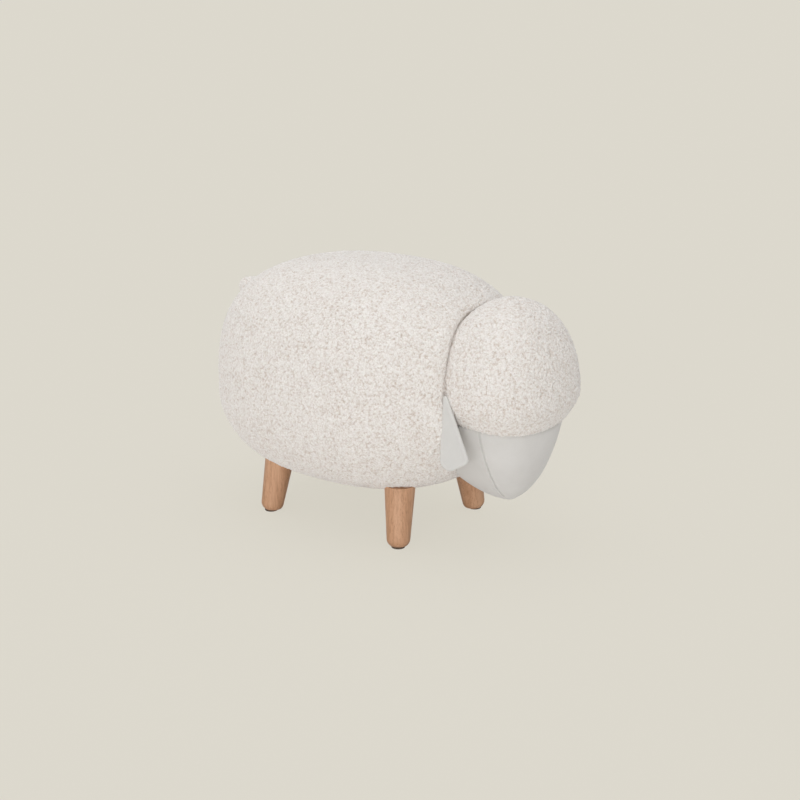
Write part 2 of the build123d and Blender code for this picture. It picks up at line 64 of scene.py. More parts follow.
# Light, at a level where a colour renders about as it is written. The sky is brightest overhead.
SKY_LEVEL = 0.12
ZENITH_LEVEL = 1.4
ZENITH_POWER = 2.0
SUN_STRENGTH = 1.72
SUN_SPREAD = math.radians(45)
SUN_TOWARDS = Vector((0.45, -1.0, 0.14)).normalized()
BACKGROUND = (0.716, 0.687, 0.610)
FLOOR_COLOUR = (0.86, 0.84, 0.81)
FLOOR_SHADOW_SHARE = 0.12
FLOOR_REACH = 60

# Stuffed body, a rounded form with its girth part way up
BODY_HALF_LENGTH = 233.5
BODY_HALF_WIDTH = 174
BODY_MIDDLE_X = -33
BODY_LOW = 70
BODY_GIRTH = 184
BODY_TOP = 371.5
BODY_UPPER_POWER = 2.79
BODY_LOWER_POWER = 1.87
BODY_PLAN_POWER = 2.35
BODY_CROWN_SHARE = 0.004
# Flat share of its underside, and how far forward of its middle that lies
BODY_FLAT_SHARE = 0.47
BODY_FLAT_SHIFT = -14.5

# Wool cap of the head
CAP_HALF_DEPTH = 83.5
CAP_HALF_WIDTH = 103
CAP_MIDDLE_X = 197
CAP_WIDEST = 216
CAP_TOP = 347
CAP_UPPER_POWER = 2.09
CAP_PLAN_POWER = 2.43
CAP_CROWN_SHARE = 0.01
# Its lip, which tucks in under the widest level and dips towards the front
LIP_REAR_HEIGHT = 200
LIP_FRONT_HEIGHT = 180.5
LIP_SHIFT_SHARE = -0.155
LIP_DEPTH_SHARE = 0.918
LIP_WIDTH_SHARE = 0.856
LIP_TUCK_POWER = 1.2

# Face, tapering from its hidden top to its chin, and cut flat behind
FACE_TOP = 190
FACE_CHIN = 70.2
FACE_TOP_X = 178.9
FACE_CHIN_X = 198.1
FACE_LEAD_POWER = 1.64
FACE_HALF_DEPTH = 83.3
FACE_REAR_DEPTH = 124
FACE_HALF_WIDTH = 84
FACE_BACK = 120
FACE_PLAN_POWER = 2.52
# Powers of its taper in depth and in width, as the taper begins and as it ends
DEPTH_BEGIN_POWER = 1.39
DEPTH_END_POWER = 1.84
WIDTH_BEGIN_POWER = 1.34
WIDTH_END_POWER = 1.87
# Its rings crowd towards the chin and start a little above it
RING_CROWDING = 1.5
RING_START_SHARE = 0.02
# Height below which the chin is rounded off, and how often
CHIN_HEIGHT = 100
CHIN_ROUNDS = 40
# How far the face is drawn in under the hem of the cap, and how wide
HEM_DEPTH = 2.0
HEM_WIDTH = 2.5

# Seam of the face: x and height of both ends in side view, bow, depth and width
SEAM_TOP_X = 204
SEAM_TOP_HEIGHT = FACE_TOP
SEAM_CHIN_X = 209.6
SEAM_CHIN_HEIGHT = 70.8
SEAM_BOW = 0.4
SEAM_DEPTH = 2.2
SEAM_WIDTH = 0.85
# The cloth swells beside the seam: how far out and how wide, in widths of the seam, and how high
SWELL_OUT = 3
SWELL_WIDTH = 1.6
SWELL_SHARE = 0.25
# Part of each turn round the face, in degrees from its front, that has more points for the seam
SEAM_FROM = 60
SEAM_TO = 82

# How far the body is drawn in beside the head, and how wide
CREASE_DEPTH = 6.0
CREASE_WIDTH = 7.0
# The sewn line in that crease: how deep it cuts, and how wide
LINE_DEPTH = 3.6
LINE_WIDTH = 2.2

# Ears, drawn in their own plane: a narrow root, and a round heel and toe as x, y and radius
EAR_ROOT_X = 165.5
EAR_ROOT_Y = 98.5
EAR_ROOT_HEIGHT = 238.5
EAR_ROOT_ROUND = 3.0
EAR_ROOT_DROP = 5.5
EAR_LENGTH = 103
EAR_HEEL = (11.5, -89, 14)
EAR_TOE = (31.5, -83, 9)
EAR_THICKNESS = 5.0
EAR_FLARE = 8.0
EAR_HEM_INSET = 6.0
EAR_HEM_DEPTH = 0.35
EAR_WELD = 0.02
EAR_ARC_POINTS = 40
EAR_EDGE_POINTS = 34
SMALLEST_SQUARE = 1e-12
# Rings of an ear, from its outline past the rim to its middle
EAR_RIM_SHARE = 0.72
EAR_RIM_RINGS = 22
EAR_CORE_SHARE = 0.02
EAR_CORE_RINGS = 9

# Sewn tab that holds an ear in the crease
TAB_HALF_DEPTH = 3
TAB_HALF_WIDTH = 5
TAB_LENGTH = 9
TAB_ROUND = 1
TAB_DROP = 9
TAB_INSET = 5.3
TAB_PLAN_POWER = 4

# Tail, a short stuffed tab
TAIL_REAR = -281
TAIL_FRONT = -216
TAIL_HALF_WIDTH = 18.5
TAIL_LOW = 284
TAIL_TOP = 316
TAIL_ROUND = 14
TAIL_ROUND_POWER = 0.8
TAIL_TURN = 1.4
TAIL_PLAN_POWER = 2.4

# Dust cover
DUST_PLAN_POWER = 2.6

# Rings of the forms, points round them, and sizes of their even mesh
BODY_RINGS = 60
BODY_TURNS = 200
BODY_VOXEL = 2.2
CAP_RINGS = 40
CAP_TURNS = 140
CAP_VOXEL = 2.1
FACE_RINGS = 190
FACE_FRONT_TURNS = 70
FACE_SEAM_TURNS = 100
TAIL_RINGS = 17
TAIL_TURNS = 64
TAIL_VOXEL = 1.8
TAB_TURNS = 32
DUST_TURNS = 96
SMOOTH_ROUNDS = 6

# Pile: size and height of one curl
CURL_CELL = 3.3
CURL_HEIGHT = 2.2
# Each frequency is a count per curl, and each reach a share of a curl
DRIFT_FREQUENCY = 0.55
DRIFT_REACH_SHARE = 1.5
CELL_BLEND_SHARE = 0.25
CELL_SLOPE = 1.25
CELL_SHARE = 0.75
WORM_FREQUENCY = 1.7
WORM_SLOPE = 3.0
BROAD_FREQUENCY = 0.16
BROAD_SHARE = 0.3
SINK_SHARE = 0.55
SWIRL_FREQUENCY = 0.9
SWIRL_REACH_SHARE = 0.45

# Colours and curls of the wool, seen close: its own colour, with pinkish-brown painted shade in the crevices
# and a painted highlight on the curl tips. Noise scales are counts per metre.
WOOL_CREVICE_PAINTED_SHADE = (0.63, 0.54, 0.475)
WOOL_MIDDLE = (0.795, 0.75, 0.71)
WOOL_TIP_PAINTED_HIGHLIGHT = (0.91, 0.885, 0.855)
WOOL_PLACES = (0.20, 0.46, 0.74)
WOOL_DRIFT_SCALE = 260
WOOL_DRIFT_REACH = 3.5
WOOL_LOOP_SCALE = 520
WOOL_LOOP_BLEND_SHARE = 0.3
WOOL_LOOP_LEVEL = 0.9
WOOL_FIBRE_SCALE = 1700
WOOL_PILE_SHARE = 0.55
WOOL_LOOP_SHARE = 0.45
WOOL_FIBRE_SHARE = 0.2
WOOL_BUMP = 1.6
WOOL_ROUGHNESS = 0.95
WOOL_SHEEN = 0.25

# Colours and nap of the smooth cloth
FACE_SHADE = (0.64, 0.625, 0.60)
FACE_LIGHT = (0.705, 0.692, 0.67)
EAR_SHADE = (0.63, 0.62, 0.597)
EAR_LIGHT = (0.69, 0.68, 0.657)
CLOUD_SCALE = 22
NAP_SCALE = 1400
NAP_SHARE = 0.3
NAP_BUMP = 0.2
SUEDE_ROUGHNESS = 0.9
SUEDE_SHEEN = 0.2
SHEEN_ROUGHNESS = 0.5

# Colours and grain of the wood. The grain runs along the axis that is stretched least.
LEG_COLOURS = ((0.40, 0.21, 0.10), (0.58, 0.325, 0.19), (0.69, 0.43, 0.265))
LEG_STRETCH = (1, 1, 0.045)
FRAME_COLOURS = ((0.46, 0.31, 0.17), (0.56, 0.40, 0.23), (0.64, 0.48, 0.30))
FRAME_STRETCH = (0.05, 1, 1)
GRAIN_PLACES = (0.32, 0.5, 0.68)
GRAIN_SCALE = 60
GRAIN_BUMP = 0.4
FINE_GRAIN_SCALE = 420
FINE_GRAIN_SHARE = 0.45
PORE_SCALE = 700
PORE_STRETCH = 2.2
PORE_COLOURS = ((0.72, 0.66, 0.6), (1, 1, 1))
PORE_PLACES = (0.3, 0.42)

# Colours of what is small or hidden, and how far their mottling goes either way
STEEL_COLOUR = (0.55, 0.55, 0.56)
GLIDE_COLOUR = (0.10, 0.07, 0.05)
LINING_COLOUR = (0.03, 0.03, 0.032)
MOTTLE_DARK_SHARE = 0.82
MOTTLE_LIGHT_SHARE = 1.12
MOTTLE_BUMP = 0.2

# Places on a ramp between which most noise lies
NOISE_LOW = 0.3
NOISE_HIGH = 0.7


def new_object(name, verts, faces):
    """A smooth mesh object from points in metres, with its faces turned outwards."""
    mesh = bpy.data.meshes.new(name)
    mesh.from_pydata([tuple(v) for v in verts], [], [tuple(f) for f in faces])
    shape = bmesh.new()
    shape.from_mesh(mesh)
    bmesh.ops.recalc_face_normals(shape, faces=shape.faces)
    shape.to_mesh(mesh)
    shape.free()
    mesh.polygons.foreach_set("use_smooth", [True] * len(mesh.polygons))
    piece = bpy.data.objects.new(name, mesh)
    bpy.context.scene.collection.objects.link(piece)
    return piece


def settle(piece):
    """Replaces a piece's mesh by what its modifiers make of it."""
    made = bpy.data.meshes.new_from_object(piece.evaluated_get(bpy.context.evaluated_depsgraph_get()))
    made.name = piece.name
    piece.modifiers.clear()
    piece.data = made
    made.polygons.foreach_set("use_smooth", [True] * len(made.polygons))


def even_turns(count):
    """Evenly spaced turns once round a form."""
    return np.linspace(0, 2 * math.pi, count, endpoint=False)


def squared(wave, power):
    """A sine or cosine, squared off as the power of a rounded outline asks."""
    return np.sign(wave) * np.abs(wave) ** (2 / power)


def ring_faces(rings, count):
    """Faces that join closed rings of points, and close both ends."""
    faces = []
    for ring in range(rings - 1):
        low, high = ring * count, (ring + 1) * count
        for column in range(count):
            after = (column + 1) % count
            faces.append((low + column, low + after, high + after, high + column))
    faces.append(range(count - 1, -1, -1))
    faces.append(range((rings - 1) * count, rings * count))
    return faces


def ring_form(levels, power, turns):
    """Points and faces of a closed form from rings of (height, middle x, half depth, half width, slope)."""
    levels = np.asarray(levels, float)
    x = levels[:, 2, None] * squared(np.cos(turns), power)
    y = levels[:, 3, None] * squared(np.sin(turns), power)
    z = levels[:, 0, None] + levels[:, 4, None] * x
    points = np.stack([x + levels[:, 1, None], y, z], -1).reshape(-1, 3) * MM
    return points, ring_faces(len(levels), len(turns))


def outside_by(points, levels, power):
    """About how many millimetres points, in metres, lie outside a ring form."""
    levels = np.asarray(levels, float)
    x, y, z = (points / MM).T
    middle, slope = (np.interp(z, levels[:, 0], levels[:, place]) for place in (1, 4))
    z = z - slope * (x - middle)
    middle, depth, width = (np.interp(z, levels[:, 0], levels[:, place]) for place in (1, 2, 3))
    reach = (np.abs((x - middle) / depth) ** power + np.abs(y / width) ** power) ** (1 / power)
    beyond = np.maximum(z - levels[-1, 0], levels[0, 0] - z)
    return np.maximum((reach - 1) * np.minimum(depth, width), beyond)


def read_mesh(piece):
    """Vertices and normals of a piece, as arrays."""
    data = []
    for name in ("co", "normal"):
        values = np.empty(len(piece.data.vertices) * 3)
        piece.data.vertices.foreach_get(name, values)
        data.append(values.reshape(-1, 3))
    return data


def move_in(piece, sink):
    """Moves the vertices of a piece inwards by so many millimetres each."""
    points, normals = read_mesh(piece)
    points = points - normals * (sink * MM)[:, None]
    piece.data.vertices.foreach_set("co", points.ravel())
    piece.data.update()


def draw_crease(piece, depth, width, *forms):
    """Draws a piece in beside other ring forms, each given by its rings and plan power."""
    points = read_mesh(piece)[0]
    away = np.min([outside_by(points, *form) for form in forms], 0)
    move_in(piece, depth * np.exp(-((np.maximum(away, 0) / width) ** 2)))


def crown_levels(base, top, middle_x, half_x, half_y, power, crown_share, count):
    """Rings of a rounded crown, above its widest level."""
    levels = []
    for turn in np.linspace(0, math.pi / 2, count)[1:]:
        share = max(math.cos(turn), crown_share) ** (2 / power)
        height = base + (top - base) * math.sin(turn) ** (2 / power)
        levels.append((height, middle_x, half_x * share, half_y * share, 0))
    return levels


def body_levels(count):
    """Rings of the stuffed body, from its flat underside to its crown."""
    levels = []
    for turn in np.linspace(math.pi / 2, 0, count):
        share = BODY_FLAT_SHARE + (1 - BODY_FLAT_SHARE) * max(math.cos(turn), 0) ** (2 / BODY_LOWER_POWER)
        down = math.sin(turn) ** (2 / BODY_LOWER_POWER)
        levels.append(
            (
                BODY_GIRTH - (BODY_GIRTH - BODY_LOW) * down,
                BODY_MIDDLE_X + BODY_FLAT_SHIFT * down,
                BODY_HALF_LENGTH * share,
                BODY_HALF_WIDTH * share,
                0,
            )
        )
    return levels + crown_levels(
        BODY_GIRTH,
        BODY_TOP,
        BODY_MIDDLE_X,
        BODY_HALF_LENGTH,
        BODY_HALF_WIDTH,
        BODY_UPPER_POWER,
        BODY_CROWN_SHARE,
        count,
    )


def cap_levels(count):
    """Rings of the wool cap, from its tucked, dipping lip to its crown."""
    slope = (LIP_FRONT_HEIGHT - LIP_REAR_HEIGHT) / (2 * CAP_HALF_DEPTH * LIP_DEPTH_SHARE)
    lip_height = (LIP_REAR_HEIGHT + LIP_FRONT_HEIGHT) / 2
    levels = []
    for down in np.linspace(1, 0, count):
        share = (1 - down**LIP_TUCK_POWER) ** (1 / LIP_TUCK_POWER)
        levels.append(
            (
                CAP_WIDEST - (CAP_WIDEST - lip_height) * down,
                CAP_MIDDLE_X + LIP_SHIFT_SHARE * CAP_HALF_DEPTH * (1 - share),
                CAP_HALF_DEPTH * (LIP_DEPTH_SHARE + (1 - LIP_DEPTH_SHARE) * share),
                CAP_HALF_WIDTH * (LIP_WIDTH_SHARE + (1 - LIP_WIDTH_SHARE) * share),
                slope * down,
            )
        )
    return levels + crown_levels(
        CAP_WIDEST,
        CAP_TOP,
        CAP_MIDDLE_X,
        CAP_HALF_DEPTH,
        CAP_HALF_WIDTH,
        CAP_UPPER_POWER,
        CAP_CROWN_SHARE,
        count,
    )


def face_levels(count):
    """Rings of the tapering face from its chin up, closer together near the chin."""
    levels = []
    for down in 1 - np.linspace(RING_START_SHARE, 1, count) ** RING_CROWDING:
        levels.append(
            (
                FACE_TOP - (FACE_TOP - FACE_CHIN) * down,
                FACE_TOP_X + (FACE_CHIN_X - FACE_TOP_X) * down**FACE_LEAD_POWER,
                FACE_HALF_DEPTH * (1 - down**DEPTH_BEGIN_POWER) ** (1 / DEPTH_END_POWER),
                FACE_HALF_WIDTH * (1 - down**WIDTH_BEGIN_POWER) ** (1 / WIDTH_END_POWER),
                0,
            )
        )
    return levels


def link_pairs(tree, *pairs):
    """Links pairs of sockets."""
    for source, target in pairs:
        tree.links.new(source, target)


def math_node(tree, operation, first, second=None, third=None):
    """A Math node whose inputs are sockets or numbers."""
    node = tree.nodes.new("ShaderNodeMath")
    node.operation = operation
    for place, value in enumerate((first, second, third)):
        if value is None:
            continue
        if isinstance(value, (int, float)):
            node.inputs[place].default_value = value
        else:
            tree.links.new(value, node.inputs[place])
    return node.outputs[0]


def vector_node(tree, operation, first, second=None, scale=None):
    """A Vector Math node whose inputs are sockets or numbers."""
    node = tree.nodes.new("ShaderNodeVectorMath")
    node.operation = operation
    for place, value in enumerate((first, second)):
        if value is None:
            continue
        if isinstance(value, tuple):
            node.inputs[place].default_value = value
        else:
            tree.links.new(value, node.inputs[place])
    if isinstance(scale, (int, float)):
        node.inputs["Scale"].default_value = scale
    elif scale is not None:
        tree.links.new(scale, node.inputs["Scale"])
    return node.outputs[0]


def noise_node(tree, place, scale, detail=2.0, roughness=0.5, colour=False):
    """A Noise Texture at a place: its value, or its colour as a vector."""
    node = tree.nodes.new("ShaderNodeTexNoise")
    node.inputs["Scale"].default_value = scale
    node.inputs["Detail"].default_value = detail
    node.inputs["Roughness"].default_value = roughness
    tree.links.new(place, node.inputs["Vector"])
    return node.outputs["Color" if colour else "Fac"]


def wander(tree, place, scale, reach):
    """A noisy vector about nought, which moves a place by up to half the reach each way."""
    noise = noise_node(tree, place, scale, detail=1.0, colour=True)
    return vector_node(tree, "SCALE", vector_node(tree, "SUBTRACT", noise, (0.5, 0.5, 0.5)), scale=reach)


def soft_cells(tree, place, scale, blend_share):
    """Distance from the middle of soft-edged cells at a place."""
    node = tree.nodes.new("ShaderNodeTexVoronoi")
    node.feature = "SMOOTH_F1"
    node.inputs["Scale"].default_value = scale
    node.inputs["Smoothness"].default_value = blend_share
    tree.links.new(place, node.inputs["Vector"])
    return node.outputs["Distance"]


def weigh(tree, first, first_share, second, second_share):
    """Two values, each times its share, added up."""
    rest = math_node(tree, "MULTIPLY", second, second_share)
    return math_node(tree, "MULTIPLY_ADD", first, first_share, rest)


def curl_group():
    """Geometry nodes that raise a curly pile on a surface, and keep its height as an attribute."""
    tree = bpy.data.node_groups.new("curls", "GeometryNodeTree")
    tree.interface.new_socket("Geometry", in_out="INPUT", socket_type="NodeSocketGeometry")
    tree.interface.new_socket("Geometry", in_out="OUTPUT", socket_type="NodeSocketGeometry")
    begin = tree.nodes.new("NodeGroupInput")
    end = tree.nodes.new("NodeGroupOutput")
    place = tree.nodes.new("GeometryNodeInputPosition").outputs[0]
    normal = tree.nodes.new("GeometryNodeInputNormal").outputs[0]
    cell = CURL_CELL * MM
    height = CURL_HEIGHT * MM

    # Round curls with wormy ridges on them, in patches that stand a little higher or lower
    drift = wander(tree, place, DRIFT_FREQUENCY / cell, DRIFT_REACH_SHARE * cell)
    warped = vector_node(tree, "ADD", place, drift)
    away = soft_cells(tree, warped, 1 / cell, CELL_BLEND_SHARE)
    curl = math_node(tree, "SUBTRACT", 1.0, math_node(tree, "MULTIPLY", away, CELL_SLOPE))
    fine = noise_node(tree, warped, WORM_FREQUENCY / cell, detail=1.0)
    worm = math_node(tree, "ABSOLUTE", math_node(tree, "MULTIPLY_ADD", fine, 2.0, -1.0))
    worm = math_node(tree, "SUBTRACT", 1.0, math_node(tree, "MULTIPLY", worm, WORM_SLOPE))
    broad = noise_node(tree, place, BROAD_FREQUENCY / cell, roughness=0.6)
    patch = math_node(tree, "MULTIPLY_ADD", broad, BROAD_SHARE, -BROAD_SHARE / 2)
    pile = math_node(tree, "ADD", weigh(tree, curl, CELL_SHARE, worm, 1 - CELL_SHARE), patch)

    rise = math_node(tree, "MULTIPLY_ADD", pile, height, -SINK_SHARE * height)
    lift = vector_node(tree, "SCALE", normal, scale=rise)
    swirl = wander(tree, place, SWIRL_FREQUENCY / cell, SWIRL_REACH_SHARE * cell)
    store = tree.nodes.new("GeometryNodeStoreNamedAttribute")
    store.data_type = "FLOAT"
    store.domain = "POINT"
    store.inputs["Name"].default_value = "pile"
    move = tree.nodes.new("GeometryNodeSetPosition")
    link_pairs(
        tree,
        (begin.outputs[0], store.inputs["Geometry"]),
        (pile, store.inputs["Value"]),
        (store.outputs[0], move.inputs["Geometry"]),
        (vector_node(tree, "ADD", lift, swirl), move.inputs["Offset"]),
        (move.outputs[0], end.inputs[0]),
    )
    return tree


def grow_wool(piece, voxel):
    """Gives a closed form an even mesh and a curly pile."""
    remesh = piece.modifiers.new("even", "REMESH")
    remesh.mode = "VOXEL"
    remesh.voxel_size = voxel * MM
    smooth = piece.modifiers.new("smooth", "SMOOTH")
    smooth.iterations = SMOOTH_ROUNDS
    finer = piece.modifiers.new("finer", "SUBSURF")
    finer.levels = 1
    curls = piece.modifiers.new("curls", "NODES")
    curls.node_group = curl_group()
    settle(piece)


def new_material(name, roughness, sheen=0.0):
    """A Principled material and its node tree."""
    material = bpy.data.materials.new(name)
    material.use_nodes = True
    shader = material.node_tree.nodes["Principled BSDF"]
    shader.inputs["Roughness"].default_value = roughness
    shader.inputs["Sheen Weight"].default_value = sheen
    shader.inputs["Sheen Roughness"].default_value = SHEEN_ROUGHNESS
    return material, material.node_tree, shader


def ramp(tree, value, *stops):
    """A Color Ramp of (place, colour) stops."""
    node = tree.nodes.new("ShaderNodeValToRGB")
    points = node.color_ramp.elements
    while len(points) < len(stops):
        points.new(0.5)
    for point, (place, colour) in zip(points, stops):
        point.position = place
        point.color = (*colour, 1)
    tree.links.new(value, node.inputs["Fac"])
    return node.outputs["Color"]


def add_bump(tree, shader, height, distance, strength):
    """Bump from a height socket, whose distance is in millimetres."""
    node = tree.nodes.new("ShaderNodeBump")
    node.inputs["Distance"].default_value = distance * MM
    node.inputs["Strength"].default_value = strength
    tree.links.new(height, node.inputs["Height"])
    tree.links.new(node.outputs[0], shader.inputs["Normal"])


def object_place(tree, scale=(1, 1, 1)):
    """Object coordinates, stretched."""
    place = tree.nodes.new("ShaderNodeTexCoord").outputs["Object"]
    return vector_node(tree, "MULTIPLY", place, scale)


def wool_material():
    """Off-white curls, with pinkish-brown painted shade in their crevices and a painted highlight on their
    tips.
    """
    material, tree, shader = new_material("wool", WOOL_ROUGHNESS, WOOL_SHEEN)
    pile = tree.nodes.new("ShaderNodeAttribute")
    pile.attribute_name = "pile"
    place = object_place(tree)
    drift = noise_node(tree, place, WOOL_DRIFT_SCALE, roughness=0.6, colour=True)
    drift = vector_node(tree, "SCALE", drift, scale=WOOL_DRIFT_REACH * MM)
    away = soft_cells(tree, vector_node(tree, "ADD", place, drift), WOOL_LOOP_SCALE, WOOL_LOOP_BLEND_SHARE)
    loop = math_node(tree, "MULTIPLY_ADD", away, -1.0, WOOL_LOOP_LEVEL)
    fibre = noise_node(tree, place, WOOL_FIBRE_SCALE, roughness=0.6)
    height = weigh(tree, fibre, WOOL_FIBRE_SHARE, loop, WOOL_LOOP_SHARE)
    height = math_node(tree, "MULTIPLY_ADD", pile.outputs["Fac"], WOOL_PILE_SHARE, height)
    # The pile height paints shade into the crevices and a highlight onto the curl tips
    colour = ramp(tree, height, *zip(WOOL_PLACES, (WOOL_CREVICE_PAINTED_SHADE, WOOL_MIDDLE, WOOL_TIP_PAINTED_HIGHLIGHT)))
    tree.links.new(colour, shader.inputs["Base Color"])
    add_bump(tree, shader, height, distance=WOOL_BUMP, strength=0.7)
    return material


def suede_material(name, shade, light):
    """Smooth brushed cloth."""
    material, tree, shader = new_material(name, SUEDE_ROUGHNESS, SUEDE_SHEEN)
    place = object_place(tree)
    cloud = noise_node(tree, place, CLOUD_SCALE, detail=4.0, roughness=0.6)
    nap = noise_node(tree, place, NAP_SCALE, roughness=0.6)
    mixed = weigh(tree, nap, NAP_SHARE, cloud, 1 - NAP_SHARE)
    tree.links.new(ramp(tree, mixed, (NOISE_LOW, shade), (NOISE_HIGH, light)), shader.inputs["Base Color"])
    add_bump(tree, shader, nap, distance=NAP_BUMP, strength=0.5)
    return material


def wood_material(name, colours, stretch, roughness):
    """Straight-grained wood with darker pores."""
    material, tree, shader = new_material(name, roughness)
    place = object_place(tree, stretch)
    broad = noise_node(tree, place, GRAIN_SCALE, detail=3.0, roughness=0.6)
    fine = noise_node(tree, place, FINE_GRAIN_SCALE, detail=3.0, roughness=0.65)
    pore_place = object_place(tree, tuple(PORE_STRETCH * share for share in stretch))
    pores = noise_node(tree, pore_place, PORE_SCALE, detail=1.0)
    grain = weigh(tree, fine, FINE_GRAIN_SHARE, broad, 1 - FINE_GRAIN_SHARE)
    mix = tree.nodes.new("ShaderNodeMix")
    mix.data_type = "RGBA"
    mix.blend_type = "MULTIPLY"
    mix.inputs["Factor"].default_value = 1.0
    link_pairs(
        tree,
        (ramp(tree, grain, *zip(GRAIN_PLACES, colours)), mix.inputs["A"]),
        (ramp(tree, pores, *zip(PORE_PLACES, PORE_COLOURS)), mix.inputs["B"]),
        (mix.outputs["Result"], shader.inputs["Base Color"]),
    )
    add_bump(tree, shader, grain, distance=GRAIN_BUMP, strength=0.4)
    return material


def plain_material(name, colour, roughness, scale, metallic=0.0):
    """A material with a little mottling, for what is hidden or small."""
    material, tree, shader = new_material(name, roughness)
    shader.inputs["Metallic"].default_value = metallic
    mottle = noise_node(tree, object_place(tree), scale, detail=3.0, roughness=0.6)
    dark = tuple(MOTTLE_DARK_SHARE * part for part in colour)
    light = tuple(min(MOTTLE_LIGHT_SHARE * part, 1) for part in colour)
    tree.links.new(ramp(tree, mottle, (NOISE_LOW, dark), (NOISE_HIGH, light)), shader.inputs["Base Color"])
    add_bump(tree, shader, mottle, distance=MOTTLE_BUMP, strength=0.4)
    return material


def dress(piece, material, slot, body, *nodes):
    """Finishes a piece: its material, body and the nodes that it stands for. The slot argument is not used.
    """
    piece.data.materials.clear()
    piece.data.materials.append(material)
    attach(piece, body)
    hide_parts(*nodes)


# Camera
back = Vector(
    (
        math.sin(CAMERA_AZIMUTH) * math.cos(CAMERA_ELEVATION),
        -math.cos(CAMERA_AZIMUTH) * math.cos(CAMERA_ELEVATION),
        math.sin(CAMERA_ELEVATION),
    )
)
camera = bpy.data.objects.new("camera", bpy.data.cameras.new("camera"))
camera.data.sensor_width = SENSOR_WIDTH
camera.data.lens = LENS
camera.location = CAMERA_TARGET + back * CAMERA_DISTANCE
camera.rotation_euler = (-back).to_track_quat("-Z", "Y").to_euler()
bpy.context.scene.collection.objects.link(camera)
bpy.context.scene.camera = camera

# Materials
wool = wool_material()
face_suede = suede_material("face_suede", FACE_SHADE, FACE_LIGHT)
ear_suede = suede_material("ear_suede", EAR_SHADE, EAR_LIGHT)
leg_wood = wood_material("leg_wood", LEG_COLOURS, LEG_STRETCH, roughness=0.5)
frame_wood = wood_material("frame_wood", FRAME_COLOURS, FRAME_STRETCH, roughness=0.7)
steel = plain_material("steel", STEEL_COLOUR, roughness=0.35, scale=300, metallic=1.0)
glide_plastic = plain_material("glide_plastic", GLIDE_COLOUR, roughness=0.5, scale=500)
lining_cloth = plain_material("lining_cloth", LINING_COLOUR, roughness=0.9, scale=1500)

# Carried-over nodes of the frame, legs and fasteners
slot_of = {row["node"]: row["material_slot"] for row in frame["record"]["subparts"]}
kept = {"frame_wood": frame_wood, "leg_wood": leg_wood, "steel": steel, "glide": glide_plastic}
for node, piece in frame["nodes"].items():
    if slot_of.get(node) in kept:
        for place in piece.material_slots:
            place.material = kept[slot_of[node]]

# Wool body over its foam, drawn in where the head is sewn to it
body_rings = body_levels(BODY_RINGS)
cap_rings = cap_levels(CAP_RINGS)
face_rings = face_levels(FACE_RINGS)
cap_form = (cap_rings, CAP_PLAN_POWER)
face_form = (face_rings, FACE_PLAN_POWER)
body = new_object("body_wool", *ring_form(body_rings, BODY_PLAN_POWER, even_turns(BODY_TURNS)))
draw_crease(body, CREASE_DEPTH, CREASE_WIDTH, cap_form, face_form)
grow_wool(body, BODY_VOXEL)
draw_crease(body, LINE_DEPTH, LINE_WIDTH, cap_form, face_form)
body_covers = [f"cover_{name}" for name in ("belly", "flank_left", "flank_right", "rump", "chest", "saddle")]
body_foams = ["belly_foam", "seat_foam", *(f"foam_{name}" for name in ("front", "rear", "left", "right"))]
dress(body, wool, "wool", "stool", *body_covers, *body_foams)

# Wool cap of the head
cap = new_object("head_wool", *ring_form(*cap_form, even_turns(CAP_TURNS)))
grow_wool(cap, CAP_VOXEL)
dress(cap, wool, "wool", "stool", "cap_left", "cap_right", "head_foam_front", "head_foam_rear")

# Smooth face. Its rings have more points beside the seam, which the two sides share.
front_turns = np.radians(np.linspace(-SEAM_FROM, SEAM_FROM, FACE_FRONT_TURNS)[1:-1])
seam_turns = np.radians(np.linspace(SEAM_FROM, SEAM_TO, FACE_SEAM_TURNS))
rear_turns = np.radians(np.linspace(SEAM_TO, 360 - SEAM_TO, FACE_SEAM_TURNS)[1:-1])
turns = np.concatenate([front_turns, seam_turns, rear_turns, 2 * math.pi - seam_turns[::-1]])
face_points, face_faces = ring_form(*face_form, turns)
middles = np.repeat([ring[1] for ring in face_rings], len(turns)) * MM
stretched = middles + (face_points[:, 0] - middles) * FACE_REAR_DEPTH / FACE_HALF_DEPTH
cut_behind = np.maximum(stretched, FACE_BACK * MM)
face_points[:, 0] = np.where(face_points[:, 0] < middles, cut_behind, face_points[:, 0])
face = new_object("face_cloth", face_points, face_faces)
chin = face.vertex_groups.new(name="chin")
chin.add(np.flatnonzero(face_points[:, 2] < CHIN_HEIGHT * MM).tolist(), 1, "REPLACE")
smooth = face.modifiers.new("smooth", "SMOOTH")
smooth.vertex_group = "chin"
smooth.iterations = CHIN_ROUNDS
settle(face)
draw_crease(face, HEM_DEPTH, HEM_WIDTH, cap_form)

# The seam is a narrow groove between two low swells
points = read_mesh(face)[0] / MM
fall = np.clip((SEAM_TOP_HEIGHT - points[:, 2]) / (SEAM_TOP_HEIGHT - SEAM_CHIN_HEIGHT), 0, 1)
seam_x = SEAM_TOP_X + (SEAM_CHIN_X - SEAM_TOP_X) * fall + 4 * SEAM_BOW * fall * (1 - fall)
off_seam = (points[:, 0] - seam_x) / SEAM_WIDTH
swell = np.exp(-((np.abs(off_seam) - SWELL_OUT) / SWELL_WIDTH) ** 2)
move_in(face, SEAM_DEPTH * (np.exp(-(off_seam**2)) - SWELL_SHARE * swell))
dress(face, face_suede, "suede", "stool", "face_front", "cheek_left", "cheek_right", "face_foam")


